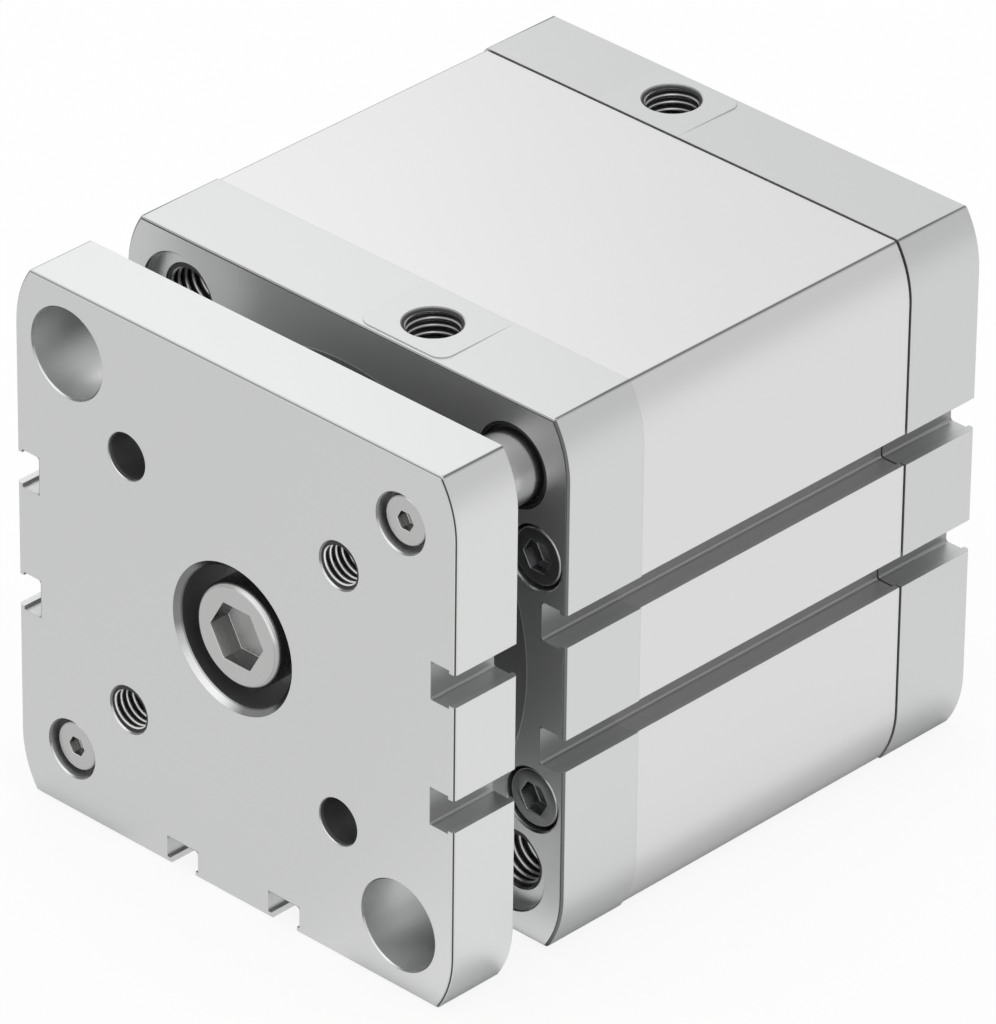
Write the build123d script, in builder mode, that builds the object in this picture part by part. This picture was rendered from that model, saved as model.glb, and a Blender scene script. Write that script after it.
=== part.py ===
from build123d import *
import math
import os

# Guided compact pneumatic cylinder with a yoke plate and two guide rods.
# +Z is up, X runs across and the stroke runs along -Y, towards the yoke plate.
# The origin is the centre of the rear mounting face. Every length is in millimetres,
# and a station is a distance forward of that rear face.

# Working sizes
bore_diameter = 80.0
stroke = 40.0
rod_diameter = 20.0
guide_rod_diameter = 12.0
running_clearance = 0.04
seat_clearance = 0.02
end_gap = 0.3

# Outline shared by the yoke plate, the caps and the barrel
side_wall = 7.65
top_wall = 7.6
barrel_step = 0.2
yoke_relief = 0.1
corner_inset = 3.3
corner_rise = 10.4
corner_edge_radius = 0.8
edge_break = 0.45
hole_break = 0.25

# Lengths along the stroke axis
rear_cap_length = 16.2
gasket_thickness = 0.35
gasket_inset = 0.3
front_cap_length = 16.75
yoke_gap = 10.45
plate_thickness = 13.75
spigot_length = 2.5
spigot_clearance = 0.1

# Sensor slots
slot_pitch = 22.4
slot_floor_wall = 2.6
slot_chamber_width = 6.8
slot_chamber_depth = 3.8
slot_mouth = 5.7
slot_corner_radius = 0.6

# Mounting threads and guides, on one square pattern set in from the sides
mount_edge = 11.65
mount_thread = 10.0
mount_thread_depth = 15.0
mount_drill = 8.5
mount_seat_diameter = 15.4
mount_seat_depth = 2.3
guide_channel = 14.5
guide_bush_wall = 1.0
guide_wiper_diameter = 14.5
guide_wiper_depth = 3.5
guide_wiper_sink = 0.3
guide_tail_gap = 2.6
guide_seat_depth = 3.0
guide_rod_chamfer = 1.0

# Cap screws, just outside the bore
cap_screw_offset = 1.0
cap_screw_z = 21.75
cap_screw_thread = 6.0
cap_screw_head = 10.0
cap_screw_head_height = 6.0
cap_screw_hex = 5.0
cap_screw_socket = 3.0
cap_screw_seat = 11.0
cap_screw_sink = 0.45
cap_screw_grip = 14.0
cap_screw_hole = 6.6

# Compressed-air ports, each on a level pad with the cap's top falling away round it
port_thread = 9.73
port_mouth = 10.1
port_thread_depth = 8.0
front_port_x = 11.2
rear_port_x = -11.7
front_port_setback = 8.16
rear_port_setback = 7.6
port_pad_width = 18.2
port_pad_radius = 2.5
port_pad_setback = 0.7
cap_fall = 0.2
port_drill = 6.0
port_drill_tip = 1.0
air_passage = 5.0
air_passage_level = 33.5

# Front face of the front cap and rear face of the rear cap
face_recess_diameter = 79.0
face_recess_depth = 1.2
rear_centring_diameter = 12.0
rear_centring_depth = 2.6

# Rod bearing, rod seal, barrel seal and end cushions
rod_seal_diameter = 28.0
rod_seal_depth = 5.0
rod_bush_wall = 1.75
cushion_inner = 28.0
cushion_outer = 40.0
cushion_seat_depth = 2.0
cushion_stand = 0.75
barrel_seal_width = 1.4
barrel_seal_depth = 1.5

# Piston
piston_length = 13.65
piston_front_length = 5.0
piston_clearance = 0.4
piston_land = 1.2
piston_seal_width = 2.6
piston_seal_height = 3.6
magnet_wall = 7.0
magnet_width = 3.0
wear_ring_wall = 3.0
piston_spigot_diameter = 14.0
piston_spigot_length = 3.0
piston_screw_thread = 10.0
piston_screw_head = 16.0
piston_screw_head_height = 5.0
piston_screw_hex = 7.0
piston_screw_socket = 2.8
piston_screw_sink = 0.3
piston_screw_grip = 17.0

# Yoke plate
plate_hole_pitch = 46.0
plate_pin_hole = 8.0
plate_pin_break = 0.15
plate_thread = 8.0
access_hole = 15.4
centre_pocket_diameter = 24.0
centre_pocket_depth = 10.4
centre_pocket_chamfer = 1.0
centre_screw_thread = 12.0
centre_screw_head = 18.0
centre_screw_sink = 0.9
centre_screw_hex = 10.0
centre_screw_socket = 4.0
centre_screw_edge = 0.8
centre_screw_grip = 20.0
guide_screw_thread = 5.0
guide_screw_head = 8.5
guide_screw_head_height = 3.5
guide_screw_seat = 10.0
guide_screw_sink = 1.0
guide_screw_hex = 3.0
guide_screw_socket = 2.0
guide_screw_grip = 12.0
screw_play = 0.5
thread_play = 0.1
thread_margin = 2.0
head_edge = 0.3

# Stations and radii that follow from the sizes above
bore_radius = bore_diameter / 2
rod_radius = rod_diameter / 2
guide_radius = guide_rod_diameter / 2
plate_hole_half = plate_hole_pitch / 2
cap_width = bore_diameter + 2 * side_wall
cap_height = bore_diameter + 2 * top_wall
mount_half = cap_width / 2 - mount_edge
mount_pitch = 2 * mount_half
slot_floor = bore_radius + slot_floor_wall
cap_screw_x = bore_radius + cap_screw_offset
barrel_width = cap_width - 2 * barrel_step
barrel_height = cap_height - 2 * barrel_step
port_level = cap_height / 2
port_drill_depth = port_level - air_passage_level + air_passage / 2 + port_drill_tip
end_stack = spigot_length + cushion_stand + end_gap
barrel_length = stroke + piston_length + 2 * end_stack - gasket_thickness
barrel_start = rear_cap_length + gasket_thickness
front_joint = barrel_start + barrel_length
front_spigot_face = front_joint - spigot_length
rear_spigot_face = rear_cap_length + spigot_length
body_length = front_joint + front_cap_length
plate_rear = body_length + yoke_gap
plate_front = plate_rear + plate_thickness
piston_rear = rear_cap_length + end_stack
piston_front = piston_rear + piston_length
piston_split = piston_front - piston_front_length
piston_radius = bore_radius - piston_clearance
guide_tail = barrel_start + guide_tail_gap
guide_wiper_floor = body_length - guide_wiper_depth
recess_floor = body_length - face_recess_depth
rod_bush_front = recess_floor - rod_seal_depth
rod_bush_rear = front_spigot_face + cushion_seat_depth
centre_head_height = centre_pocket_depth - centre_screw_sink

# Diagonal pairs on the square patterns, as X and Z
guide_spots = [(mount_half, mount_half), (-mount_half, -mount_half)]
open_spots = [(-mount_half, mount_half), (mount_half, -mount_half)]
plate_thread_spots = [(plate_hole_half, plate_hole_half), (-plate_hole_half, -plate_hole_half)]
plate_pin_spots = [(-plate_hole_half, plate_hole_half), (plate_hole_half, -plate_hole_half)]


def facing_front(station):
    """Section plane whose normal points to the yoke, with X across and Z up."""
    return Plane.front.offset(station)


def facing_rear(station):
    """Section plane whose normal points to the rear mounting face."""
    return Plane.back.offset(-station)


def body_outline(width, height):
    """Flat top and bottom, and sides that roll in to meet them at each corner."""
    half_width = width / 2
    half_height = height / 2
    flat_half = half_width - corner_inset
    roll_start = half_height - corner_rise
    with BuildSketch() as outline:
        with BuildLine():
            Line((0, half_height), (flat_half, half_height))
            TangentArc((half_width, roll_start), (flat_half, half_height), tangent=(0, 1))
            Line((half_width, roll_start), (half_width, -roll_start))
            TangentArc((half_width, -roll_start), (flat_half, -half_height), tangent=(0, -1))
            Line((flat_half, -half_height), (0, -half_height))
            mirror(about=Plane.YZ)
        make_face()
        corners = [v for v in outline.vertices() if abs(abs(v.X) - flat_half) < seat_clearance]
        fillet(corners, corner_edge_radius)
    return outline.sketch


def sensor_slots():
    """Undercut slots, two each on the left, the bottom and the right, with one common floor."""
    reach = cap_width - slot_floor
    from_floor = (Align.MIN, Align.CENTER)
    with BuildSketch() as slots:
        with PolarLocations(slot_floor, 3, start_angle=180, angular_range=180, endpoint=True):
            with GridLocations(0, slot_pitch, 1, 2):
                Rectangle(slot_chamber_depth, slot_chamber_width, align=from_floor)
                Rectangle(reach, slot_mouth, align=from_floor)
        corners = [v for v in slots.vertices() if max(abs(v.X), abs(v.Y)) < slot_floor + seat_clearance]
        fillet(corners, slot_corner_radius)
    return slots.sketch


def circle_edges(piece, diameter, station):
    """Round edges of one diameter that lie in the section at a station."""
    found = []
    for edge in piece.edges().filter_by(GeomType.CIRCLE):
        same_size = abs(edge.radius - diameter / 2) < seat_clearance / 2
        if same_size and abs(edge.center().Y + station) < seat_clearance:
            found.append(edge)
    return found


def socket_screw(thread, shank, head, head_height, hex_size, socket_depth, edge):
    """Cap screw along Z: the head's face is at zero and the shank points down."""
    with BuildPart() as screw:
        Cylinder(head / 2, head_height, align=(Align.CENTER, Align.CENTER, Align.MAX))
        chamfer(screw.edges().group_by(Axis.Z)[-1], edge)
        with Locations((0, 0, -head_height)):
            Cylinder((thread - thread_play) / 2, shank, align=(Align.CENTER, Align.CENTER, Align.MAX))
        with BuildSketch():
            RegularPolygon(hex_size / 2, 6, major_radius=False)
        extrude(amount=-socket_depth, mode=Mode.SUBTRACT)
    return screw.part


def air_port(port_x, station, spigot_face):
    """Tool for one port: threaded mouth, drilling and passage to the bore."""
    mouth_break = (port_mouth - port_thread) / 2
    with BuildPart() as port:
        with Locations((port_x, -station, port_level)):
            Cylinder(port_thread / 2, port_thread_depth, align=(Align.CENTER, Align.CENTER, Align.MAX))
            Cylinder(port_drill / 2, port_drill_depth, align=(Align.CENTER, Align.CENTER, Align.MAX))
            Cone(
                port_thread / 2,
                port_mouth / 2,
                mouth_break,
                align=(Align.CENTER, Align.CENTER, Align.MAX),
            )
        with BuildSketch(facing_front(station)):
            with Locations((port_x, air_passage_level)):
                Circle(air_passage / 2)
        extrude(amount=spigot_face - station)
    return port.part


def falling_top(pad_x, outer_face, joint):
    """Tool that lets a cap's top fall away from the joint and leaves the port's level pad."""
    inward = math.copysign(1, joint - outer_face)
    fall_end = outer_face + inward * edge_break
    pad_start = outer_face + inward * port_pad_setback
    pad_end = joint + inward * port_pad_radius
    with BuildPart() as relief:
        with BuildSketch(Plane.YZ.offset(-cap_width / 2)):
            with BuildLine():
                Polyline(
                    (-joint, port_level),
                    (-joint, port_level + cap_fall),
                    (-outer_face, port_level + cap_fall),
                    (-outer_face, port_level - cap_fall - edge_break),
                    (-fall_end, port_level - cap_fall),
                    close=True,
                )
            make_face()
        extrude(amount=cap_width)
        with BuildSketch(Plane.XY.offset(port_level - cap_fall)):
            with Locations((pad_x, -(pad_start + pad_end) / 2)):
                RectangleRounded(port_pad_width, abs(pad_end - pad_start), port_pad_radius)
        extrude(amount=2 * cap_fall, mode=Mode.SUBTRACT)
    return relief.part


def save(piece, name):
    """Label a finished piece and write it under its node name."""
    piece.part.label = name
    export_step(piece.part, "parts/" + name + ".step")


def ring(name, inner_radius, outer_radius, rear, front, spot=(0, 0)):
    """Plain ring along the stroke axis between two stations."""
    with BuildPart() as band:
        with BuildSketch(facing_front(rear)):
            with Locations(spot):
                Circle(outer_radius)
                Circle(inner_radius, mode=Mode.SUBTRACT)
        extrude(amount=front - rear)
    save(band, name)


def lip_seal(name, inner_radius, outer_radius, closed_end, open_end):
    """Seal ring with two lips that open towards the pressure side."""
    middle = (inner_radius + outer_radius) / 2
    root = (closed_end + open_end) / 2
    with BuildPart() as seal:
        with BuildSketch():
            with BuildLine():
                Polyline(
                    (inner_radius, -closed_end),
                    (outer_radius, -closed_end),
                    (outer_radius, -open_end),
                    (middle, -root),
                    (inner_radius, -open_end),
                    close=True,
                )
            make_face()
        revolve(axis=Axis.Y)
    save(seal, name)


os.makedirs("parts", exist_ok=True)

# Barrel: one extruded section with the bore, corner and screw channels, and the sensor slots
with BuildPart() as barrel:
    with BuildSketch(facing_front(barrel_start)):
        add(body_outline(barrel_width, barrel_height))
        add(sensor_slots(), mode=Mode.SUBTRACT)
        Circle(bore_radius, mode=Mode.SUBTRACT)
        with GridLocations(mount_pitch, mount_pitch, 2, 2):
            Circle(guide_channel / 2, mode=Mode.SUBTRACT)
        with GridLocations(2 * cap_screw_x, 2 * cap_screw_z, 2, 2):
            Circle(cap_screw_thread / 2, mode=Mode.SUBTRACT)
    extrude(amount=barrel_length)
    with BuildSketch(facing_front(front_joint)):
        Circle(bore_radius + barrel_seal_width)
    extrude(amount=-barrel_seal_depth, mode=Mode.SUBTRACT)
save(barrel, "barrel")

# Front cap: rod bearing, guide bush seats, air port, mounting threads and screw seats
cap_screw_seat_depth = cap_screw_head_height + cap_screw_sink
with BuildPart() as front_cap:
    with BuildSketch(facing_front(front_joint)):
        add(body_outline(cap_width, cap_height))
    extrude(amount=front_cap_length)
    chamfer(front_cap.faces().sort_by(Axis.Y)[0].edges(), edge_break)
    add(falling_top(front_port_x, body_length, front_joint), mode=Mode.SUBTRACT)
    with BuildSketch(facing_front(front_joint)):
        add(sensor_slots())
    extrude(amount=front_cap_length, mode=Mode.SUBTRACT)
    with BuildSketch(facing_front(front_spigot_face)):
        Circle(bore_radius - spigot_clearance)
    extrude(amount=spigot_length)
    with BuildSketch(facing_front(body_length)):
        Circle(face_recess_diameter / 2)
    extrude(amount=-face_recess_depth, mode=Mode.SUBTRACT)
    with Locations(facing_front(recess_floor)):
        CounterBoreHole(rod_radius + rod_bush_wall, rod_seal_diameter / 2, rod_seal_depth)
    with BuildSketch(facing_front(front_spigot_face)):
        Circle(cushion_outer / 2)
    extrude(amount=cushion_seat_depth, mode=Mode.SUBTRACT)
    with Locations(facing_front(body_length)):
        with Locations(*guide_spots):
            CounterBoreHole(guide_radius + guide_bush_wall, guide_wiper_diameter / 2, guide_wiper_depth)
        with Locations(*open_spots):
            CounterBoreHole(mount_thread / 2, mount_seat_diameter / 2, mount_seat_depth, mount_thread_depth)
            Hole(mount_drill / 2)
        with GridLocations(2 * cap_screw_x, 2 * cap_screw_z, 2, 2):
            CounterBoreHole(cap_screw_hole / 2, cap_screw_seat / 2, cap_screw_seat_depth)
    chamfer(circle_edges(front_cap, cap_screw_seat, body_length), hole_break)
    chamfer(circle_edges(front_cap, mount_seat_diameter, body_length), hole_break)
    chamfer(circle_edges(front_cap, mount_thread, body_length - mount_seat_depth), hole_break)
    front_port_station = body_length - front_port_setback
    add(air_port(front_port_x, front_port_station, front_spigot_face), mode=Mode.SUBTRACT)
save(front_cap, "front_cap")

# Rear cap: closed end with four mounting threads, a centring recess and the second port
with BuildPart() as rear_cap:
    with BuildSketch(facing_front(0)):
        add(body_outline(cap_width, cap_height))
    extrude(amount=rear_cap_length)
    chamfer(rear_cap.faces().sort_by(Axis.Y)[-1].edges(), edge_break)
    add(falling_top(rear_port_x, 0, rear_cap_length), mode=Mode.SUBTRACT)
    with BuildSketch(facing_front(0)):
        add(sensor_slots())
    extrude(amount=rear_cap_length, mode=Mode.SUBTRACT)
    with BuildSketch(facing_front(rear_cap_length)):
        Circle(bore_radius - spigot_clearance)
    extrude(amount=spigot_length)
    with BuildSketch(facing_front(rear_spigot_face)):
        Circle(cushion_outer / 2)
    extrude(amount=-cushion_seat_depth, mode=Mode.SUBTRACT)
    with Locations(facing_rear(0)):
        Hole(rear_centring_diameter / 2, rear_centring_depth)
        with GridLocations(mount_pitch, mount_pitch, 2, 2):
            Hole(mount_thread / 2, mount_thread_depth)
            Hole(mount_drill / 2)
        with GridLocations(2 * cap_screw_x, 2 * cap_screw_z, 2, 2):
            CounterBoreHole(cap_screw_hole / 2, cap_screw_seat / 2, cap_screw_seat_depth)
    chamfer(circle_edges(rear_cap, mount_thread, 0), hole_break)
    add(air_port(rear_port_x, rear_port_setback, rear_spigot_face), mode=Mode.SUBTRACT)
save(rear_cap, "rear_cap")

# Flat gasket between the barrel and the rear cap, just short of the outside
gasket_slot_depth = barrel_width / 2 - slot_floor + gasket_inset
with BuildPart() as rear_gasket:
    with BuildSketch(facing_front(rear_cap_length)):
        add(body_outline(barrel_width - 2 * gasket_inset, barrel_height - 2 * gasket_inset))
        with PolarLocations(barrel_width / 2, 3, start_angle=180, angular_range=180, endpoint=True):
            with GridLocations(0, slot_pitch, 1, 2):
                Rectangle(2 * gasket_slot_depth, slot_chamber_width + gasket_inset, mode=Mode.SUBTRACT)
        Circle(bore_radius, mode=Mode.SUBTRACT)
        with GridLocations(2 * cap_screw_x, 2 * cap_screw_z, 2, 2):
            Circle(cap_screw_hole / 2, mode=Mode.SUBTRACT)
    extrude(amount=gasket_thickness)
save(rear_gasket, "rear_gasket")

# Screws that hold the caps to the barrel, four at each end
front_shank = front_cap_length - cap_screw_seat_depth + cap_screw_grip
rear_shank = barrel_start - cap_screw_seat_depth + cap_screw_grip
cap_screw_sets = (
    ("front_cap_screws", facing_front(body_length - cap_screw_sink), front_shank),
    ("rear_cap_screws", facing_rear(cap_screw_sink), rear_shank),
)
for screws_name, head_plane, shank_length in cap_screw_sets:
    cap_screw = socket_screw(
        cap_screw_thread,
        shank_length,
        cap_screw_head,
        cap_screw_head_height,
        cap_screw_hex,
        cap_screw_socket,
        head_edge,
    )
    with BuildPart() as cap_screws:
        with Locations(head_plane):
            with GridLocations(2 * cap_screw_x, 2 * cap_screw_z, 2, 2):
                add(cap_screw)
    save(cap_screws, screws_name)

# Seal between the barrel and the front cap's spigot
ring(
    "front_barrel_seal",
    bore_radius,
    bore_radius + barrel_seal_width - seat_clearance,
    front_joint - barrel_seal_depth,
    front_joint,
)

# Rod seal with its wiper edge, and the rod bush behind it
lip_seal(
    "rod_seal",
    rod_radius + running_clearance,
    rod_seal_diameter / 2 - seat_clearance,
    recess_floor,
    rod_bush_front,
)
ring(
    "rod_bush",
    rod_radius + running_clearance,
    rod_radius + rod_bush_wall - seat_clearance,
    rod_bush_rear,
    rod_bush_front,
)

# Guide bushes and the wiper rings in front of them
for side, guide_spot in zip(("upper", "lower"), guide_spots):
    ring(
        "guide_bush_" + side,
        guide_radius + running_clearance,
        guide_radius + guide_bush_wall - seat_clearance,
        front_joint,
        guide_wiper_floor,
        guide_spot,
    )
    ring(
        "guide_wiper_" + side,
        guide_radius + running_clearance,
        guide_wiper_diameter / 2 - seat_clearance,
        guide_wiper_floor,
        body_length - guide_wiper_sink,
        guide_spot,
    )

# Elastic cushion rings that stop the piston at each end
ring(
    "front_cushion_ring",
    cushion_inner / 2 + seat_clearance,
    cushion_outer / 2 - seat_clearance,
    front_spigot_face - cushion_stand,
    front_spigot_face + cushion_seat_depth,
)
ring(
    "rear_cushion_ring",
    cushion_inner / 2 + seat_clearance,
    cushion_outer / 2 - seat_clearance,
    rear_spigot_face - cushion_seat_depth,
    rear_spigot_face + cushion_stand,
)

# Piston: two flanged halves with a seal groove each, clamped round the magnet and the wear ring
rear_seal_start = piston_rear + piston_land
front_seal_end = piston_front - piston_land
front_seal_start = front_seal_end - piston_seal_width
piston_hub_start = piston_split - magnet_width
magnet_radius = bore_radius - wear_ring_wall
piston_hub_radius = magnet_radius - magnet_wall
with BuildPart() as piston_rear_half:
    with BuildSketch(facing_front(piston_rear)):
        Circle(piston_radius)
    extrude(amount=piston_hub_start - piston_rear)
    with BuildSketch(facing_front(piston_hub_start)):
        Circle(piston_hub_radius - seat_clearance)
    extrude(amount=magnet_width)
    with BuildSketch(facing_front(rear_seal_start)):
        Circle(bore_radius)
        Circle(piston_radius - piston_seal_height, mode=Mode.SUBTRACT)
    extrude(amount=piston_seal_width, mode=Mode.SUBTRACT)
    with Locations(facing_rear(piston_rear)):
        CounterBoreHole(
            (piston_screw_thread + screw_play) / 2,
            (piston_screw_head + screw_play) / 2,
            piston_screw_head_height + piston_screw_sink,
        )
save(piston_rear_half, "piston_rear_half")

with BuildPart() as piston_front_half:
    with BuildSketch(facing_front(piston_split)):
        Circle(piston_radius)
    extrude(amount=piston_front_length)
    with BuildSketch(facing_front(front_seal_start)):
        Circle(bore_radius)
        Circle(piston_radius - piston_seal_height, mode=Mode.SUBTRACT)
    extrude(amount=piston_seal_width, mode=Mode.SUBTRACT)
    with Locations(facing_front(piston_front)):
        CounterBoreHole(
            (piston_screw_thread + screw_play) / 2,
            piston_spigot_diameter / 2,
            piston_spigot_length,
        )
save(piston_front_half, "piston_front_half")

# What the piston carries: two lip seals, a wear ring and the magnet that the sensors see
piston_seal_inner = piston_radius - piston_seal_height + seat_clearance
piston_ring_radius = bore_radius - running_clearance
rear_seal_end = rear_seal_start + piston_seal_width
lip_seal("piston_seal_front", piston_seal_inner, piston_ring_radius, front_seal_start, front_seal_end)
lip_seal("piston_seal_rear", piston_seal_inner, piston_ring_radius, rear_seal_end, rear_seal_start)
ring("piston_wear_ring", magnet_radius + seat_clearance, piston_ring_radius, piston_hub_start, piston_split)
ring("piston_magnet", piston_hub_radius, magnet_radius, piston_hub_start, piston_split)

# Screw that clamps both piston halves to the rod
piston_screw_face = piston_rear + piston_screw_sink
piston_screw_shank = piston_front + piston_screw_grip - piston_screw_face - piston_screw_head_height
with BuildPart() as piston_screw:
    with Locations(facing_rear(piston_screw_face)):
        add(
            socket_screw(
                piston_screw_thread,
                piston_screw_shank,
                piston_screw_head,
                piston_screw_head_height,
                piston_screw_hex,
                piston_screw_socket,
                head_edge,
            )
        )
save(piston_screw, "piston_screw")

# Piston rod: tapped at both ends, with a spigot that centres the piston
piston_rod_tail = piston_front - piston_spigot_length
with BuildPart() as piston_rod:
    with BuildSketch(facing_front(piston_front)):
        Circle(rod_radius)
    extrude(amount=plate_rear - piston_front)
    with BuildSketch(facing_front(piston_rod_tail)):
        Circle(piston_spigot_diameter / 2 - seat_clearance)
    extrude(amount=piston_spigot_length)
    with Locations(facing_front(plate_rear)):
        Hole(centre_screw_thread / 2, centre_screw_grip + thread_margin)
    with Locations(facing_rear(piston_rod_tail)):
        Hole(piston_screw_thread / 2, piston_spigot_length + piston_screw_grip + thread_margin)
    chamfer(circle_edges(piston_rod, rod_diameter, plate_rear), hole_break)
save(piston_rod, "piston_rod")

# Guide rods, tapped at the plate end and seated in the plate
guide_rod_front = plate_rear + guide_seat_depth
for side, guide_spot in zip(("upper", "lower"), guide_spots):
    with BuildPart() as guide_rod:
        with BuildSketch(facing_front(guide_tail)):
            with Locations(guide_spot):
                Circle(guide_radius)
        extrude(amount=guide_rod_front - guide_tail)
        chamfer(circle_edges(guide_rod, guide_rod_diameter, guide_tail), guide_rod_chamfer)
        with Locations(facing_front(guide_rod_front)):
            with Locations(guide_spot):
                Hole(guide_screw_thread / 2, guide_screw_grip + thread_margin)
    save(guide_rod, "guide_rod_" + side)

# Yoke plate: notched like the body, with its screw seats, threads, pin holes and access holes
with BuildPart() as yoke_plate:
    with BuildSketch(facing_front(plate_rear)):
        add(body_outline(cap_width, cap_height - 2 * yoke_relief))
    extrude(amount=plate_thickness)
    chamfer(yoke_plate.faces().sort_by(Axis.Y)[0].edges(), edge_break)
    chamfer(yoke_plate.faces().sort_by(Axis.Y)[-1].edges(), edge_break)
    with BuildSketch(facing_front(plate_rear)):
        add(sensor_slots())
    extrude(amount=plate_thickness, mode=Mode.SUBTRACT)
    for hole_spots, hole_size, hole_chamfer in (
        (open_spots, access_hole, hole_break),
        (plate_pin_spots, plate_pin_hole, plate_pin_break),
        (plate_thread_spots, plate_thread, hole_break),
    ):
        with Locations(facing_front(plate_front)):
            with Locations(*hole_spots):
                Hole(hole_size / 2)
        chamfer(circle_edges(yoke_plate, hole_size, plate_front), hole_chamfer)
    with Locations(facing_front(plate_front)):
        with Locations(*guide_spots):
            CounterBoreHole(
                (guide_screw_thread + screw_play) / 2,
                guide_screw_seat / 2,
                guide_screw_head_height + guide_screw_sink,
            )
        CounterBoreHole(
            (centre_screw_thread + screw_play) / 2,
            centre_pocket_diameter / 2,
            centre_pocket_depth,
        )
    chamfer(circle_edges(yoke_plate, guide_screw_seat, plate_front), hole_break)
    chamfer(circle_edges(yoke_plate, centre_pocket_diameter, plate_front), centre_pocket_chamfer)
    with BuildSketch(facing_front(plate_rear)):
        with Locations(*guide_spots):
            Circle(guide_radius + seat_clearance)
    extrude(amount=guide_seat_depth, mode=Mode.SUBTRACT)
save(yoke_plate, "yoke_plate")

# Screws of the yoke: one into the piston rod and one into each guide rod
with BuildPart() as yoke_centre_screw:
    with Locations(facing_front(plate_front - centre_screw_sink)):
        add(
            socket_screw(
                centre_screw_thread,
                plate_thickness - centre_pocket_depth + centre_screw_grip,
                centre_screw_head,
                centre_head_height,
                centre_screw_hex,
                centre_screw_socket,
                centre_screw_edge,
            )
        )
save(yoke_centre_screw, "yoke_centre_screw")

guide_screw_web = plate_thickness - guide_screw_head_height - guide_screw_sink - guide_seat_depth
with BuildPart() as guide_rod_screws:
    with Locations(facing_front(plate_front - guide_screw_sink)):
        with Locations(*guide_spots):
            add(
                socket_screw(
                    guide_screw_thread,
                    guide_screw_web + guide_screw_grip,
                    guide_screw_head,
                    guide_screw_head_height,
                    guide_screw_hex,
                    guide_screw_socket,
                    head_edge,
                )
            )
save(guide_rod_screws, "guide_rod_screws")

print("body length", round(body_length, 2), "overall", round(plate_front, 2))
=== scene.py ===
# %% [markdown]
# # A guided pneumatic cylinder
# A square aluminium cylinder with a yoke plate in front of it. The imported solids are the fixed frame.
# This script gives them their finishes, and adds what is too fine for the solids: tapped threads,
# socket heads and rubber lips.

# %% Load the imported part
import math

import bpy
from mathutils import Matrix, Vector


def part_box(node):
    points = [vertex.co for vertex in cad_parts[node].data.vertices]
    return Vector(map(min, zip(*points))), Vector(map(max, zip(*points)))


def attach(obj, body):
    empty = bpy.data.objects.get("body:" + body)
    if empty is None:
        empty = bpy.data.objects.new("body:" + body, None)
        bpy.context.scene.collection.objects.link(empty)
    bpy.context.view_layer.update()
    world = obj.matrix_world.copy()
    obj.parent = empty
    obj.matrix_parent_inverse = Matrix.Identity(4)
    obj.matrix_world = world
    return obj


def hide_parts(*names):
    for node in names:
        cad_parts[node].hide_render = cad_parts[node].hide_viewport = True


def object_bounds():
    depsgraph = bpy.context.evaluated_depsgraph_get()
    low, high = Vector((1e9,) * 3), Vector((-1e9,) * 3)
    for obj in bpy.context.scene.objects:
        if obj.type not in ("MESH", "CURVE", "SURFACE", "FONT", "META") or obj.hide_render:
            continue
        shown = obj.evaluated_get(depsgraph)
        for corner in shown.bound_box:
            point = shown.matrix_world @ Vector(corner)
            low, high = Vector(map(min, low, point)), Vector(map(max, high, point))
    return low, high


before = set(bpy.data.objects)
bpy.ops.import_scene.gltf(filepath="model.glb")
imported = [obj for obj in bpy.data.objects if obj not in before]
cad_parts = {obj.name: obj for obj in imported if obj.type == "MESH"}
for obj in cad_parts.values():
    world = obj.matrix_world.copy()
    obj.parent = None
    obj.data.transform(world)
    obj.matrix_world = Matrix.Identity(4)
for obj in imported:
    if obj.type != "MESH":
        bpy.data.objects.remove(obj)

MM = 0.001
solid_low, solid_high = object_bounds()
print("solids from", tuple(solid_low), "to", tuple(solid_high))

# %% [markdown]
# ## Where things are
# The stroke runs along -Y, so a face that looks at the reader has the lowest Y of its piece. The
# stations below are read from the solids. The hole pattern is square: 36 mm either way on the body and
# 23 mm on the plate.

# %% Stations and hole patterns
plate_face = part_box("yoke_plate")[0].y
plate_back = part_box("yoke_plate")[1].y
body_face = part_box("front_cap")[0].y
body_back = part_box("rear_cap")[1].y
port_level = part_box("front_cap")[1].z
floor_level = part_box("front_cap")[0].z
corner = 36 * MM
inner_corner = 23 * MM
cap_screw_across = 41 * MM
cap_screw_up = 21.75 * MM
print("plate face", round(plate_face, 4), "body face", round(body_face, 4), "floor", round(floor_level, 4))

# %% [markdown]
# ## The camera
# The photograph is taken with a long lens from the front right and above, and the camera leans by less
# than a degree. The camera is set from two angles, that lean and a distance, so that each can be read
# and changed by itself.

# %% Camera
camera_azimuth = math.radians(43.577)
camera_elevation = math.radians(30.931)
camera_lean = math.radians(0.671)
camera_distance = 1602.5 * MM
aim = Vector((0, -58.7, 0)) * MM
aim_right = -0.155 * MM
aim_up = -2.0 * MM
photo_height = 1024
focal_pixels = 10175.6
film_width = 36

camera_back = Vector(
    (
        math.sin(camera_azimuth) * math.cos(camera_elevation),
        -math.cos(camera_azimuth) * math.cos(camera_elevation),
        math.sin(camera_elevation),
    )
)
level_right = (-camera_back).cross(Vector((0, 0, 1))).normalized()
level_up = camera_back.cross(level_right)
camera_right = level_right * math.cos(camera_lean) + level_up * math.sin(camera_lean)
camera_up = level_up * math.cos(camera_lean) - level_right * math.sin(camera_lean)
eye = aim + camera_back * camera_distance + camera_right * aim_right + camera_up * aim_up

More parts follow.
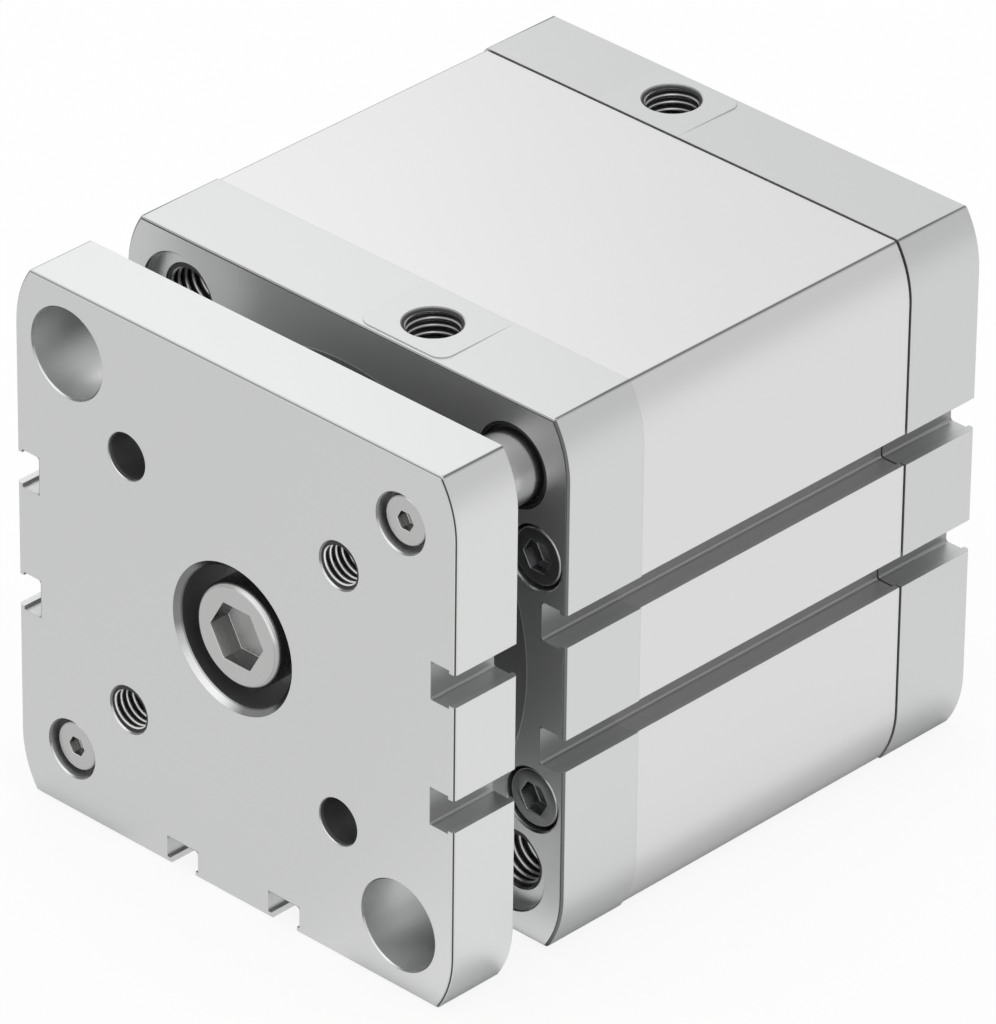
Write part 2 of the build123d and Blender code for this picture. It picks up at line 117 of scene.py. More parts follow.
bpy.ops.object.select_all(action="DESELECT")
bpy.ops.object.camera_add(location=eye)
camera = bpy.context.active_object
camera.name = "photo_camera"
turn = Matrix((camera_right, camera_up, camera_back)).transposed()
camera.matrix_world = Matrix.Translation(eye) @ turn.to_4x4()
camera.data.sensor_width = film_width
camera.data.lens = film_width * focal_pixels / photo_height
camera.data.clip_start = 0.1
camera.data.clip_end = 20
bpy.context.scene.camera = camera
print("camera lens", round(camera.data.lens, 1), "mm")

# %% [markdown]
# ## Floor and light
# The studio is white all round, so the metal shows pale, soft reflections. The floor is white paper:
# the camera and the metal see it bright, and it keeps a faint shadow. Right under both sides of the
# part it lends no brightness and its colour is painted darker, a painted shadow, so the rolled lower
# edges mirror something dark, as they do in the photograph. To the metal's reflections alone, the
# paper left of the middle is painted dimmer: painted shade in the reflections.

# %% Floor
def new_material(name):
    """Empty node material with a surface shader and an output."""
    material = bpy.data.materials.new(name)
    material.use_nodes = True
    material.node_tree.nodes.clear()
    output = material.node_tree.nodes.new("ShaderNodeOutputMaterial")
    output.location = (600, 0)
    return material


def wire(tree, value, target):
    """Puts a number or a vector on a socket, or links another node's output to it."""
    if isinstance(value, (int, float, tuple)):
        target.default_value = value
    else:
        tree.links.new(value, target)


def math_node(tree, operation, *values):
    """Math node whose inputs are numbers or outputs of other nodes."""
    node = tree.nodes.new("ShaderNodeMath")
    node.operation = operation
    for value, target in zip(values, node.inputs):
        wire(tree, value, target)
    return node.outputs[0]


def ramp_node(tree, value, start, end, low=0.0, high=1.0, shape="SMOOTHSTEP"):
    """Change from low at the start to high at the end, smooth unless the shape says otherwise."""
    node = tree.nodes.new("ShaderNodeMapRange")
    node.interpolation_type = shape
    settings = {"Value": value, "From Min": start, "From Max": end, "To Min": low, "To Max": high}
    for name, setting in settings.items():
        wire(tree, setting, node.inputs[name])
    return node.outputs["Result"]


def parted(tree, vector):
    """X, Y and Z of a vector."""
    node = tree.nodes.new("ShaderNodeSeparateXYZ")
    wire(tree, vector, node.inputs[0])
    return node.outputs


part_middle = -59 * MM
gap_middle = -98.9 * MM
side_edge = 49 * MM
side_clear = 62 * MM
middle_lit = 20 * MM
middle_dark = 30 * MM
end_edge = 59 * MM
end_clear = 64 * MM
gap_lit = 3.5 * MM
gap_dark = 5.5 * MM
full_lift = 0.95
camera_lift = 0.88
# Paper colour under the part: a painted shadow.
painted_shadow_paper = 0.82
pale_paper = 0.92
left_dimness = 0.2
dimness_end = 50 * MM

floor_white = new_material("floor_white")
tree = floor_white.node_tree
matt = tree.nodes.new("ShaderNodeBsdfDiffuse")
paper = tree.nodes.new("ShaderNodeEmission")
paper.inputs["Color"].default_value = (1, 1, 1, 1)
path = tree.nodes.new("ShaderNodeLightPath")
spot = parted(tree, tree.nodes.new("ShaderNodeTexCoord").outputs["Object"])
from_axis = math_node(tree, "ABSOLUTE", spot["X"])
from_middle = math_node(tree, "ABSOLUTE", math_node(tree, "SUBTRACT", spot["Y"], part_middle))
from_gap = math_node(tree, "ABSOLUTE", math_node(tree, "SUBTRACT", spot["Y"], gap_middle))
beside = ramp_node(tree, from_axis, side_edge, side_clear)
under_middle = ramp_node(tree, from_axis, middle_lit, middle_dark, 1, 0)
past_ends = ramp_node(tree, from_middle, end_edge, end_clear)
under_gap = ramp_node(tree, from_gap, gap_lit, gap_dark, 1, 0)
outer_light = math_node(tree, "MAXIMUM", beside, past_ends)
inner_light = math_node(tree, "MAXIMUM", under_middle, under_gap)
lit_floor = math_node(tree, "MAXIMUM", outer_light, inner_light)
clear_of_part = math_node(tree, "MULTIPLY", lit_floor, full_lift)
# The paper is painted darker under the part: a painted shadow.
wire(tree, ramp_node(tree, clear_of_part, 0, full_lift, painted_shadow_paper, pale_paper), matt.inputs["Color"])
mirrored = math_node(tree, "MAXIMUM", path.outputs["Is Glossy Ray"], path.outputs["Is Transmission Ray"])
# For reflections only, the paper left of the middle is painted dimmer: painted shade.
dimness = ramp_node(tree, spot["X"], 0, dimness_end, left_dimness, 0)
brightness = math_node(tree, "SUBTRACT", 1, math_node(tree, "MULTIPLY", mirrored, dimness))
wire(tree, brightness, paper.inputs["Strength"])
# Reflections get the white lift everywhere but under the part, where it is left out as a painted shadow.
mirrored_lift = math_node(tree, "MULTIPLY", mirrored, clear_of_part)
seen_lift = math_node(tree, "MULTIPLY_ADD", path.outputs["Is Camera Ray"], camera_lift, mirrored_lift)
blend = tree.nodes.new("ShaderNodeMixShader")
tree.links.new(seen_lift, blend.inputs["Fac"])
tree.links.new(matt.outputs[0], blend.inputs[1])
tree.links.new(paper.outputs[0], blend.inputs[2])
tree.links.new(blend.outputs[0], tree.nodes["Material Output"].inputs["Surface"])

floor_size = 8
bpy.ops.object.select_all(action="DESELECT")
bpy.ops.mesh.primitive_plane_add(size=floor_size, location=(0, 0, floor_level))
floor = bpy.context.active_object
floor.name = "studio_floor"
floor.data.materials.append(floor_white)
bpy.ops.object.transform_apply(location=True, rotation=True, scale=True)
print("floor at", round(floor_level, 4))

# %% Lamps
def soft_lamp(name, place, target, width, power):
    """Square area lamp that looks at a point."""
    bpy.ops.object.select_all(action="DESELECT")
    bpy.ops.object.light_add(type="AREA", location=place)
    lamp = bpy.context.active_object
    lamp.name = name
    lamp.data.shape = "SQUARE"
    lamp.data.size = width
    lamp.data.energy = power
    away = Vector(place) - Vector(target)
    lamp.rotation_euler = away.to_track_quat("Z", "Y").to_euler()
    return lamp


middle = (solid_low + solid_high) / 2
overhead = soft_lamp("overhead_lamp", (-0.22, 0.05, 0.26), middle, width=0.2, power=0.05)
high_lamp = soft_lamp("high_lamp", (0, -0.06, 1.2), middle, width=0.6, power=2.2)
print("lamps", overhead.name, high_lamp.name)

# %% Sky
def vector_node(tree, operation, *values):
    """Vector math node that gives a vector, or a number for a length or a dot product."""
    node = tree.nodes.new("ShaderNodeVectorMath")
    node.operation = operation
    for value, target in zip(values, node.inputs):
        wire(tree, value, target)
    return node.outputs["Value" if operation in ("DOT_PRODUCT", "LENGTH") else "Vector"]


brighter_way = (-0.3, 0, 0.95)
dimmest_sky = 0.68

sky = bpy.data.worlds.new("studio_sky")
bpy.context.scene.world = sky
sky.use_nodes = True
tree = sky.node_tree
tree.nodes.clear()
sky_output = tree.nodes.new("ShaderNodeOutputWorld")
sky_light = tree.nodes.new("ShaderNodeBackground")
direction = tree.nodes.new("ShaderNodeTexCoord")
height = vector_node(tree, "DOT_PRODUCT", direction.outputs["Generated"], brighter_way)
wire(tree, ramp_node(tree, height, 0, 1, dimmest_sky, 1, "LINEAR"), sky_light.inputs["Color"])
wire(tree, sky_light.outputs[0], sky_output.inputs["Surface"])
print("sky", sky.name)

# %% [markdown]
# ## Shared effects
# Machined and anodised metal isn't one flat colour. Fine lines run the way the tool went, and a slower,
# cloudy change lies under them. Edges differ in tone: partly wear, partly a painted highlight or painted
# shade along the edges. Each effect is a node group, made once and placed in each material with its
# own values.

# %% Helpers for node groups
number_socket = "NodeSocketFloat"
vector_socket = "NodeSocketVector"
color_socket = "NodeSocketColor"
kind_by_size = {1: number_socket, 3: vector_socket, 4: color_socket}
plain_metal = (0.6, 0.6, 0.6, 1)


def new_group(name, inputs, outputs):
    """Node group with named inputs at their usual values, and named outputs."""
    group = bpy.data.node_groups.new(name, "ShaderNodeTree")
    for title, value in inputs.items():
        size = len(value) if isinstance(value, tuple) else 1
        made = group.interface.new_socket(name=title, in_out="INPUT", socket_type=kind_by_size[size])
        made.default_value = value
    for title, kind in outputs.items():
        group.interface.new_socket(name=title, in_out="OUTPUT", socket_type=kind)
    given = group.nodes.new("NodeGroupInput")
    result = group.nodes.new("NodeGroupOutput")
    return group, given.outputs, result.inputs


def toned(group, color, tone):
    """The colour, darker or brighter by one factor."""
    node = group.nodes.new("ShaderNodeVectorMath")
    node.operation = "SCALE"
    wire(group, color, node.inputs[0])
    wire(group, tone, node.inputs["Scale"])
    return node.outputs["Vector"]


# %% Grain group
grain_group, given, result = new_group(
    "machined_grain",
    {"Color": plain_metal, "Roughness": 0.4, "Lines": (3000, 60, 3000), "Tone": 0.03, "Gloss": 0.06},
    {"Color": color_socket, "Roughness": number_socket, "Height": number_socket},
)
place = grain_group.nodes.new("ShaderNodeTexCoord").outputs
lines = grain_group.nodes.new("ShaderNodeTexNoise")
lines.inputs["Scale"].default_value = 1.0
lines.inputs["Detail"].default_value = 3.0
clouds = grain_group.nodes.new("ShaderNodeTexNoise")
clouds.inputs["Scale"].default_value = 45.0
clouds.inputs["Detail"].default_value = 4.0
mixed = grain_group.nodes.new("ShaderNodeMix")
mixed.data_type = "FLOAT"
mixed.inputs["Factor"].default_value = 0.35
stretched = vector_node(grain_group, "MULTIPLY", place["Object"], given["Lines"])
wire(grain_group, stretched, lines.inputs["Vector"])
wire(grain_group, place["Object"], clouds.inputs["Vector"])
wire(grain_group, lines.outputs["Fac"], mixed.inputs["A"])
wire(grain_group, clouds.outputs["Fac"], mixed.inputs["B"])
centred = math_node(grain_group, "SUBTRACT", mixed.outputs["Result"], 0.5)
tone = math_node(grain_group, "MULTIPLY_ADD", centred, given["Tone"], 1)
gloss = math_node(grain_group, "MULTIPLY_ADD", centred, given["Gloss"], given["Roughness"])
wire(grain_group, toned(grain_group, given["Color"], tone), result["Color"])
wire(grain_group, gloss, result["Roughness"])
wire(grain_group, lines.outputs["Fac"], result["Height"])
print("grain group with", len(grain_group.nodes), "nodes")

# %% Edge group
flat_match = 0.998
bent_match = 0.92

edge_group, given, result = new_group(
    "edge_wear_and_edge_light",
    {"Color": plain_metal, "Edge Color": (0.85, 0.85, 0.85, 1), "Wear And Light": 0.4, "Radius": 0.3 * MM},
    {"Color": color_socket, "Normal": vector_socket},
)
rounded = edge_group.nodes.new("ShaderNodeBevel")
rounded.samples = 4
wire(edge_group, given["Radius"], rounded.inputs["Radius"])
facing = edge_group.nodes.new("ShaderNodeNewGeometry")
# The edge colour mixes wear with a painted highlight or painted shade along the edges.
alike = vector_node(edge_group, "DOT_PRODUCT", rounded.outputs[0], facing.outputs["Normal"])
bent = ramp_node(edge_group, alike, flat_match, bent_match, shape="LINEAR")
worn_and_lit = math_node(edge_group, "MULTIPLY", bent, given["Wear And Light"])
paint = edge_group.nodes.new("ShaderNodeMix")
paint.data_type = "RGBA"
first_color, second_color = paint.inputs[6:8]
mixed_color = paint.outputs[2]
wire(edge_group, worn_and_lit, paint.inputs["Factor"])
wire(edge_group, given["Color"], first_color)
wire(edge_group, given["Edge Color"], second_color)
wire(edge_group, mixed_color, result["Color"])
wire(edge_group, rounded.outputs[0], result["Normal"])
print("edge group with", len(edge_group.nodes), "nodes")

# %% [markdown]
# Two more things are painted darker on the body: a fine line where the flat top meets the rolled
# side, painted shade standing for a dark reflection along that corner, and the inside of the slots,
# painted shade where little light gets in. Both run the whole length, so a mask made from X and Z
# alone finds them.

# %% Section group
line_level = 46.6 * MM
lengthwise_reach = 0.5
slot_across = 11.2 * MM
slot_half = 3.45 * MM
slot_floor = 42.5 * MM
mouth_from = 45.6 * MM
mouth_to = 47.4 * MM
wall_from = 42.7 * MM
wall_to = 43.4 * MM
wall_share = 0.1

shade_group, given, result = new_group(
    "section_shade",
    {
        "Color": plain_metal, "Line At": 44.35 * MM, "Line Width": 0.34 * MM, "Line Depth": 0.8,
        "Slot Depth": 0.48,
    },
    {"Color": color_socket},
)
place = shade_group.nodes.new("ShaderNodeTexCoord").outputs
parts = parted(shade_group, place["Object"])
slants = parted(shade_group, place["Normal"])
lengthwise = math_node(shade_group, "COMPARE", slants["Y"], 0, lengthwise_reach)
out_x = math_node(shade_group, "ABSOLUTE", parts["X"])
out_z = math_node(shade_group, "ABSOLUTE", parts["Z"])
down = math_node(shade_group, "MULTIPLY", parts["Z"], -1)
past_line = math_node(shade_group, "SUBTRACT", out_x, given["Line At"])
line_off = math_node(shade_group, "ABSOLUTE", past_line)
near_line = ramp_node(shade_group, line_off, 0, given["Line Width"], 1, 0)
high_up = math_node(shade_group, "GREATER_THAN", out_z, line_level)
on_top = math_node(shade_group, "MULTIPLY", lengthwise, high_up)
line = math_node(shade_group, "MULTIPLY", near_line, on_top)
slot_masks = []
for outward, offset in ((out_x, out_z), (down, out_x)):
    within = math_node(shade_group, "COMPARE", offset, slot_across, slot_half)
    above_floor = math_node(shade_group, "GREATER_THAN", outward, slot_floor)
    near_mouth = ramp_node(shade_group, outward, mouth_from, mouth_to, 1, 0)
    off_floor = ramp_node(shade_group, outward, wall_from, wall_to, 1, wall_share)
    deep = math_node(shade_group, "MULTIPLY", near_mouth, off_floor)
    here = math_node(shade_group, "MULTIPLY", within, above_floor)
    slot_masks.append(math_node(shade_group, "MULTIPLY", here, deep))
slot = math_node(shade_group, "MAXIMUM", *slot_masks)
line_dark = math_node(shade_group, "MULTIPLY", line, given["Line Depth"])
slot_dark = math_node(shade_group, "MULTIPLY", slot, given["Slot Depth"])
light_left = math_node(shade_group, "SUBTRACT", 1, math_node(shade_group, "MAXIMUM", line_dark, slot_dark))
wire(shade_group, toned(shade_group, given["Color"], light_left), result["Color"])
print("section group with", len(shade_group.nodes), "nodes")

# %% [markdown]
# The chamfer round the front of the plate and the front cap is only half a millimetre wide, but it
# catches the eye as one or two fine dark lines. The group paints them as painted shade, with a dimmer
# strip between and a painted highlight, the glint, near the top. It finds the chamfer by its slanting
# normal and measures along Y how deep it is.

# %% Front edge group
outline_from = 45 * MM
chamfer_normal = 0.707
chamfer_reach = 0.1
chamfer_width = 0.45 * MM
front_reach = 1 * MM
side_from = 0.4
side_to = 0.6
line_core = 0.12
line_fade = 0.3
glint_from = 0.72
glint_to = 0.86
glint_side = 0.9

front_group, given, result = new_group(
    "front_edge",
    {
        "Color": plain_metal, "Front At": -100 * MM, "First Line": 0.5, "Top Line": 0.45, "Side Line": 0.1,
        "Top Strip": 1.0, "Side Strip": 1.0, "Glint": 1.0,
    },
    {"Color": color_socket},
)
place = front_group.nodes.new("ShaderNodeTexCoord").outputs
parts = parted(front_group, place["Object"])
slants = parted(front_group, place["Normal"])
out_x = math_node(front_group, "ABSOLUTE", parts["X"])
out_z = math_node(front_group, "ABSOLUTE", parts["Z"])
outermost = math_node(front_group, "MAXIMUM", out_x, out_z)
edge_near = math_node(front_group, "GREATER_THAN", outermost, outline_from)
outward_x = math_node(front_group, "MULTIPLY", parts["X"], slants["X"])
outward_z = math_node(front_group, "MULTIPLY", parts["Z"], slants["Z"])
outward = math_node(front_group, "GREATER_THAN", math_node(front_group, "ADD", outward_x, outward_z), 0)
on_outline = math_node(front_group, "MULTIPLY", edge_near, outward)
slanting = math_node(front_group, "COMPARE", slants["Y"], -chamfer_normal, chamfer_reach)
behind = math_node(front_group, "SUBTRACT", parts["Y"], given["Front At"])
near_front = math_node(front_group, "LESS_THAN", behind, front_reach)
at_front = math_node(front_group, "MULTIPLY", slanting, near_front)
chamfered = math_node(front_group, "MULTIPLY", on_outline, at_front)
share = math_node(front_group, "DIVIDE", behind, chamfer_width)
past_line = math_node(front_group, "SUBTRACT", share, given["First Line"])
from_line = math_node(front_group, "ABSOLUTE", past_line)
near_line = ramp_node(front_group, from_line, line_core, line_fade, 1, 0)
sideways = ramp_node(front_group, math_node(front_group, "ABSOLUTE", slants["X"]), side_from, side_to)
line_tone = ramp_node(front_group, sideways, 0, 1, given["Top Line"], given["Side Line"])
strip_tone = ramp_node(front_group, sideways, 0, 1, given["Top Strip"], given["Side Strip"])
glint_tone = ramp_node(front_group, sideways, 0, glint_side, given["Glint"], strip_tone)
with_glint = ramp_node(front_group, share, glint_from, glint_to, strip_tone, glint_tone)
with_line = ramp_node(front_group, near_line, 0, 1, with_glint, line_tone)
tone = ramp_node(front_group, chamfered, 0, 1, 1, with_line)
wire(front_group, toned(front_group, given["Color"], tone), result["Color"])
print("front edge group with", len(front_group.nodes), "nodes")

# %% [markdown]
# Turned rims, such as the pocket's chamfer or a screw head's, are finer than the rest. The group paints
# a highlight on them where they look up and to the right, standing for the lamp's reflection, and
# painted shade elsewhere. The direction of the slanting normal tells which is which. The same group
# paints shade on what lies deeper than a given Y, such as the bottom of a socket, and paints a bright
# line, a painted highlight, at the edge of the round recess in the front cap's face. It also paints the
# sloping rims of the air ports: a highlight where they face left and shade elsewhere. A place that is
# past everything switches off what depends on it.

# %% Turned rim group
past_all = 1.0
off_axis = (1, 0, 1)
lamp_way = (0.574, 0, 0.819)
lobe_from = 0.7
lobe_to = 0.99
wall_forward = 0.1
slant_least = 0.3
slant_most = 0.93
face_forward = 0.985
rim_gloss = 0.5
ring_inner = 0.1 * MM
ring_outer = 0.22 * MM
ring_tone = 1.8
body_middle = (body_face + body_back) / 2
port_height = 40 * MM
port_half = 18 * MM
ports_reach = 44.8 * MM
port_left_from = 0.15
port_left_to = 0.6
port_dim = 0.5
port_bright = 1.4

rim_group, given, result = new_group(
    "turned_rim",
    {
        "Color": plain_metal, "Roughness": 0.4, "Dim": 0.3, "Bright": 1.36, "Outline From": outline_from,
        "Shade From": past_all, "Shade To": past_all, "Shade Within": past_all, "Shade": 1.0,
        "Line Radius": past_all,
    },
    {"Color": color_socket, "Roughness": number_socket},
)
place = rim_group.nodes.new("ShaderNodeTexCoord").outputs
parts = parted(rim_group, place["Object"])
slants = parted(rim_group, place["Normal"])
flat = vector_node(rim_group, "MULTIPLY", place["Normal"], off_axis)
way = vector_node(rim_group, "DOT_PRODUCT", vector_node(rim_group, "NORMALIZE", flat), lamp_way)
lobe = ramp_node(rim_group, way, lobe_from, lobe_to, given["Dim"], given["Bright"])
forward = math_node(rim_group, "MULTIPLY", slants["Y"], -1)
off_wall = ramp_node(rim_group, forward, wall_forward, slant_least)
off_face = ramp_node(rim_group, forward, slant_most, face_forward, 1, 0)
slanting = math_node(rim_group, "MULTIPLY", off_wall, off_face)
out_x = math_node(rim_group, "ABSOLUTE", parts["X"])
out_z = math_node(rim_group, "ABSOLUTE", parts["Z"])
furthest = math_node(rim_group, "MAXIMUM", out_x, out_z)
off_outline = math_node(rim_group, "LESS_THAN", furthest, given["Outline From"])
on_rim = math_node(rim_group, "MULTIPLY", slanting, off_outline)
rim_tone = ramp_node(rim_group, on_rim, 0, 1, 1, lobe)
spread = vector_node(rim_group, "LENGTH", vector_node(rim_group, "MULTIPLY", place["Object"], off_axis))
below = math_node(rim_group, "GREATER_THAN", parts["Y"], given["Shade From"])
above = math_node(rim_group, "LESS_THAN", parts["Y"], given["Shade To"])
inner = math_node(rim_group, "LESS_THAN", spread, given["Shade Within"])
deep = math_node(rim_group, "MULTIPLY", math_node(rim_group, "MULTIPLY", below, above), inner)
deep_tone = ramp_node(rim_group, deep, 0, 1, 1, given["Shade"])
from_ring = math_node(rim_group, "SUBTRACT", spread, given["Line Radius"])
ring_off = math_node(rim_group, "ABSOLUTE", from_ring)
near_ring = ramp_node(rim_group, ring_off, ring_inner, ring_outer, ring_tone, 1)
depth_tone = math_node(rim_group, "MULTIPLY", deep_tone, near_ring)
port_slope = math_node(rim_group, "COMPARE", slants["Z"], chamfer_normal, chamfer_reach)
high_up = math_node(rim_group, "GREATER_THAN", parts["Z"], port_height)
port_high = math_node(rim_group, "MULTIPLY", port_slope, high_up)
near_axis = math_node(rim_group, "LESS_THAN", out_x, port_half)
port_wide = math_node(rim_group, "MULTIPLY", port_high, near_axis)
off_ends = math_node(rim_group, "COMPARE", parts["Y"], body_middle, ports_reach)
port_rim = math_node(rim_group, "MULTIPLY", port_wide, off_ends)
leftward = math_node(rim_group, "MULTIPLY", slants["X"], -1)
port_lobe = ramp_node(rim_group, leftward, port_left_from, port_left_to, port_dim, port_bright)
port_tone = ramp_node(rim_group, port_rim, 0, 1, 1, port_lobe)
shade = math_node(rim_group, "MULTIPLY", depth_tone, port_tone)
tone = math_node(rim_group, "MULTIPLY", rim_tone, shade)
gloss_left = ramp_node(rim_group, on_rim, 0, 1, 1, rim_gloss)
wire(rim_group, toned(rim_group, given["Color"], tone), result["Color"])
wire(rim_group, math_node(rim_group, "MULTIPLY", given["Roughness"], gloss_left), result["Roughness"])
print("turned rim group with", len(rim_group.nodes), "nodes")

# %% [markdown]
# ## The metals and the soft materials
# Every finish is one shader fed by the shared groups. A finish differs in its colour, its gloss, the
# direction of its lines and how bright its edges are. Rubber and plastic use the same groups with a
# dielectric shader.

# %% Finishes
def placed_group(nodes, links, group, values, base):
    """Places a shared group behind a colour, sets its values and gives its node."""
    node = nodes.new("ShaderNodeGroup")
    node.node_tree = group
    for name, value in values.items():
        node.inputs[name].default_value = value
    links.new(base, node.inputs["Color"])
    return node


def finish(
    name, color, roughness, lines, metallic=1.0, edge_tone=1.35, wear_and_light=0.4, edge=0.1, effects=()
):
    """Material from the shared groups, with any further effects between the grain and the edges."""
    material = new_material(name)
    nodes = material.node_tree.nodes
    links = material.node_tree.links
    grain = nodes.new("ShaderNodeGroup")
    grain.node_tree = grain_group
    grain.inputs["Color"].default_value = (*color, 1)
    grain.inputs["Roughness"].default_value = roughness
    grain.inputs["Lines"].default_value = lines
    base = grain.outputs["Color"]
    gloss = grain.outputs["Roughness"]
    for group, values in effects:
        effect = placed_group(nodes, links, group, values, base)
        base = effect.outputs["Color"]
        if group == rim_group:
            links.new(gloss, effect.inputs["Roughness"])
            gloss = effect.outputs["Roughness"]
    edges = nodes.new("ShaderNodeGroup")
    edges.node_tree = edge_group
    edges.inputs["Edge Color"].default_value = (*[min(1, c * edge_tone) for c in color], 1)
    edges.inputs["Wear And Light"].default_value = wear_and_light
    edges.inputs["Radius"].default_value = edge * MM
    bump = nodes.new("ShaderNodeBump")
    bump.inputs["Strength"].default_value = 0.02
    bump.inputs["Distance"].default_value = 0.05 * MM
    surface = nodes.new("ShaderNodeBsdfPrincipled")
    surface.inputs["Metallic"].default_value = metallic
    links.new(base, edges.inputs["Color"])
    links.new(edges.outputs["Color"], surface.inputs["Base Color"])
    links.new(gloss, surface.inputs["Roughness"])
    links.new(grain.outputs["Height"], bump.inputs["Height"])
    links.new(edges.outputs["Normal"], bump.inputs["Normal"])
    links.new(bump.outputs[0], surface.inputs["Normal"])
    links.new(surface.outputs[0], nodes["Material Output"].inputs["Surface"])
    return material


along_stroke = (4000, 40, 4000)
across = (60, 4000, 4000)
all_ways = (2500, 2500, 2500)
# Skins get painted dark lines along their edges and screws bright edges: wear mixed with painted shade and
# painted highlight.
dark_edge = {"edge_tone": 0.5, "wear_and_light": 0.7, "edge": 0.1}
soft_edge = {"metallic": 0.0, "wear_and_light": 0.05}
# These settings paint the dark corner line and the shade inside the slots.
barrel_lines = (shade_group, {"Line At": 44.15 * MM})
cap_lines = (shade_group, {"Line At": 44.35 * MM})
# The caps' chamfer gets dark lines and a dim strip, painted shade, and a glint near the top, a painted
# highlight. The plate's gets one painted dark line.
cap_edge = (
    front_group,
    {
        "Front At": body_face, "First Line": 0.1, "Top Line": 0.1, "Side Line": 0.12, "Top Strip": 0.62,
        "Side Strip": 0.27, "Glint": 1.35,
    },
)
plate_edge = (front_group, {"Front At": plate_face})
# These rim settings paint highlights on turned rims and painted shade in the plate's holes and pocket, the
# cap's recess and the screws' sockets. The cap's also paints a bright ring, a painted highlight.
hole_rims = (rim_group, {})
plate_rims = (
    rim_group,
    {
        "Shade From": plate_face + 0.8 * MM, "Shade To": plate_back - 0.2 * MM, "Shade Within": 42 * MM,
        "Shade": 0.6,
    },
)
cap_rims = (
    rim_group,
    {
        "Shade From": body_face + 0.3 * MM, "Shade Within": 39.45 * MM, "Shade": 0.6,
        "Line Radius": 39.55 * MM,
    },
)
screw_rims = (
    rim_group,
    {
        "Dim": 0.8, "Bright": 1.7, "Outline From": past_all, "Shade From": plate_face + 1.2 * MM,
        "Shade": 0.75,
    },
)
black_rims = (rim_group, {"Dim": 1.3, "Bright": 3, "Outline From": past_all})
barrel_skin = finish(
    "barrel_skin", (0.76, 0.76, 0.76), 0.42, along_stroke, effects=[barrel_lines], **dark_edge
)
front_cap_skin = finish(
    "front_cap_skin", (0.686, 0.697, 0.692), 0.42, all_ways, effects=[cap_lines, cap_edge, cap_rims],
    **dark_edge,
)
rear_cap_skin = finish(
    "rear_cap_skin", (0.66, 0.67, 0.665), 0.42, all_ways, effects=[cap_lines, hole_rims], **dark_edge
)
plate_skin = finish(
    "plate_skin", (0.735, 0.745, 0.74), 0.42, across, effects=[cap_lines, plate_edge, plate_rims],
    **dark_edge,
)
gasket_rubber = finish("gasket_rubber", (0.02, 0.02, 0.02), 0.6, all_ways, **soft_edge)
seal_rubber = finish("seal_rubber", (0.02, 0.021, 0.021), 0.35, all_ways, **soft_edge)
cushion_rubber = finish("cushion_rubber", (0.03, 0.06, 0.10), 0.5, all_ways, **soft_edge)
bright_zinc = finish(
    "bright_zinc", (0.58, 0.58, 0.575), 0.28, all_ways, edge_tone=1.8, wear_and_light=0.8, edge=0.12,
    effects=[screw_rims],
)
black_oxide = finish(
    "black_oxide", (0.26, 0.262, 0.265), 0.35, all_ways, edge_tone=2, wear_and_light=0.6, effects=[black_rims]
)
ground_chrome = finish("ground_chrome", (0.53, 0.53, 0.525), 0.22, all_ways, wear_and_light=0.1)
bearing_bronze = finish("bearing_bronze", (0.45, 0.30, 0.14), 0.35, all_ways, wear_and_light=0.2)
magnet_plastic = finish("magnet_plastic", (0.06, 0.06, 0.065), 0.5, all_ways, **soft_edge)
wear_plastic = finish("wear_plastic", (0.35, 0.32, 0.26), 0.45, all_ways, **soft_edge)
piston_skin = finish("piston_skin", (0.66, 0.67, 0.665), 0.42, all_ways)
# One metal in two colours: near-black flanks are painted shade, pale crests a painted highlight.
painted_shade_flank = finish("painted_shade_flank", (0.06, 0.06, 0.06), 0.4, all_ways, wear_and_light=0.1)
painted_highlight_crest = finish("painted_highlight_crest", (0.85, 0.85, 0.84), 0.3, all_ways, wear_and_light=0.1)
painted_highlight_port_crest = finish("painted_highlight_port_crest", (0.42, 0.42, 0.415), 0.3, all_ways, wear_and_light=0.1)
print("finishes", len(bpy.data.materials))

# %% Finishes on the solids
node_finish = {
    "barrel": barrel_skin,
    "front_cap": front_cap_skin,
    "rear_cap": rear_cap_skin,
    "yoke_plate": plate_skin,
    "rear_gasket": gasket_rubber,
    "front_cap_screws": black_oxide,
    "rear_cap_screws": black_oxide,
    "piston_screw": black_oxide,
    "yoke_centre_screw": bright_zinc,
    "guide_rod_screws": bright_zinc,
    "guide_rod_upper": ground_chrome,
    "guide_rod_lower": ground_chrome,
    "piston_rod": ground_chrome,
    "rod_bush": bearing_bronze,
    "guide_bush_upper": bearing_bronze,
    "guide_bush_lower": bearing_bronze,
    "front_barrel_seal": seal_rubber,
    "rod_seal": seal_rubber,
    "guide_wiper_upper": seal_rubber,
    "guide_wiper_lower": seal_rubber,
    "piston_seal_front": seal_rubber,
    "piston_seal_rear": seal_rubber,
    "front_cushion_ring": cushion_rubber,
    "rear_cushion_ring": cushion_rubber,
    "piston_front_half": piston_skin,
    "piston_rear_half": piston_skin,
    "piston_magnet": magnet_plastic,
    "piston_wear_ring": wear_plastic,
}
for node_name, node_material in node_finish.items():
    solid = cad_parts[node_name]
    solid.data.materials.clear()
    solid.data.materials.append(node_material)
print("finished solids", len(node_finish), "of", len(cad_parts))

# %% [markdown]
# ## Tapped threads
# A tapped hole shows bright, thin crests with dark roots between them. Both are painted on one metal:
# the crests a pale colour, a painted highlight, and the flanks a near-black one, painted shade.
# The solid has the plain hole at the thread's outer diameter. The ridge's section is a trapezoid with
# one more point, a shoulder near the crest on the side of the mouth. A screw modifier winds it down the
# hole, and a plain sleeve keeps what lies between the mouth and the end. The cut ends look along the
# hole, and are painted as dark as the flanks.

